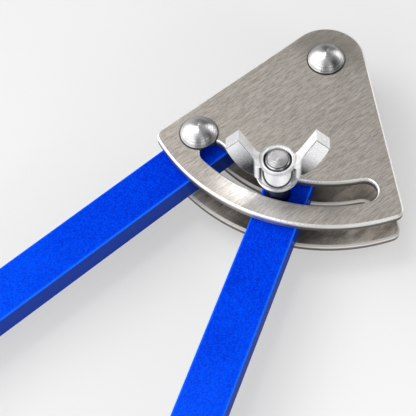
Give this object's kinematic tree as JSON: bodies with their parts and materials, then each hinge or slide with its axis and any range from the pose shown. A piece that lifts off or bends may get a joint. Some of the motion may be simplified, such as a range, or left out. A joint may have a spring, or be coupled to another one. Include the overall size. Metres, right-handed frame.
{
  "type": "wing divider",
  "caption": "Large wing divider: slotted sector plates, a fixed and a swinging bar leg with scriber points, apex pivot rivet and wing nut clamp.",
  "frame": {"origin": "centre of the pivot rivet's flat tail, on the swing leg's turning axis", "axes": "+Z out of the front plate along the pivot, +Y from the points towards the plates' apex, plates symmetric about the YZ plane"},
  "size_m": [0.185, 0.313, 0.0539],
  "materials": {
    "brushed_stainless": "brushed, warm grey",
    "blue_powder_coat": "bright blue satin powder coat with fine sparkle",
    "polished_nickel": "polished",
    "bright_zinc": "bright zinc plate",
    "hardened_steel": "ground",
    "black_oxide": "black oxide"
  },
  "bodies": {
    "head": {"front_plate": "brushed_stainless", "rear_plate": "brushed_stainless", "fixed_leg": "blue_powder_coat", "pivot_rivet": "polished_nickel", "corner_rivet": "polished_nickel", "fixed_set_screw": "black_oxide"},
    "swing_leg": {"swing_leg": "blue_powder_coat", "clamp_bolt": "bright_zinc", "swing_set_screw": "black_oxide"},
    "nut_washer": {"nut_washer": "bright_zinc"},
    "wing_nut": {"wing_nut": "bright_zinc"},
    "fixed_point": {"fixed_point": "hardened_steel"},
    "swing_point": {"swing_point": "hardened_steel"}
  },
  "joints": [
    {"name": "leg_swing", "type": "hinge", "parent": "head", "child": "swing_leg", "pos_m": [0, 0, 0], "axis": [0, 0, 1], "range_deg": [-18.3, 27.5]},
    {"name": "nut_travel", "type": "slide", "parent": "swing_leg", "child": "nut_washer", "axis": [0, 0, 1], "range_m": [-0.00813, 0]},
    {"name": "nut_turn", "type": "hinge", "parent": "nut_washer", "child": "wing_nut", "pos_m": [0.00203, -0.05226, 0.0302], "axis": [0, 0, 1], "range_deg": [-2340, 0]},
    {"name": "fixed_point_slide", "type": "slide", "parent": "head", "child": "fixed_point", "axis": [-0.4756, -0.8796, 0], "range_m": [-0.01, 0.006]},
    {"name": "swing_point_slide", "type": "slide", "parent": "swing_leg", "child": "swing_point", "axis": [0.0216, -0.9998, 0], "range_m": [-0.01, 0.006]}
  ],
  "couplings": [
    {"joint": "nut_travel", "follows": "nut_turn", "m_per_rad": 0.00019894}
  ]
}
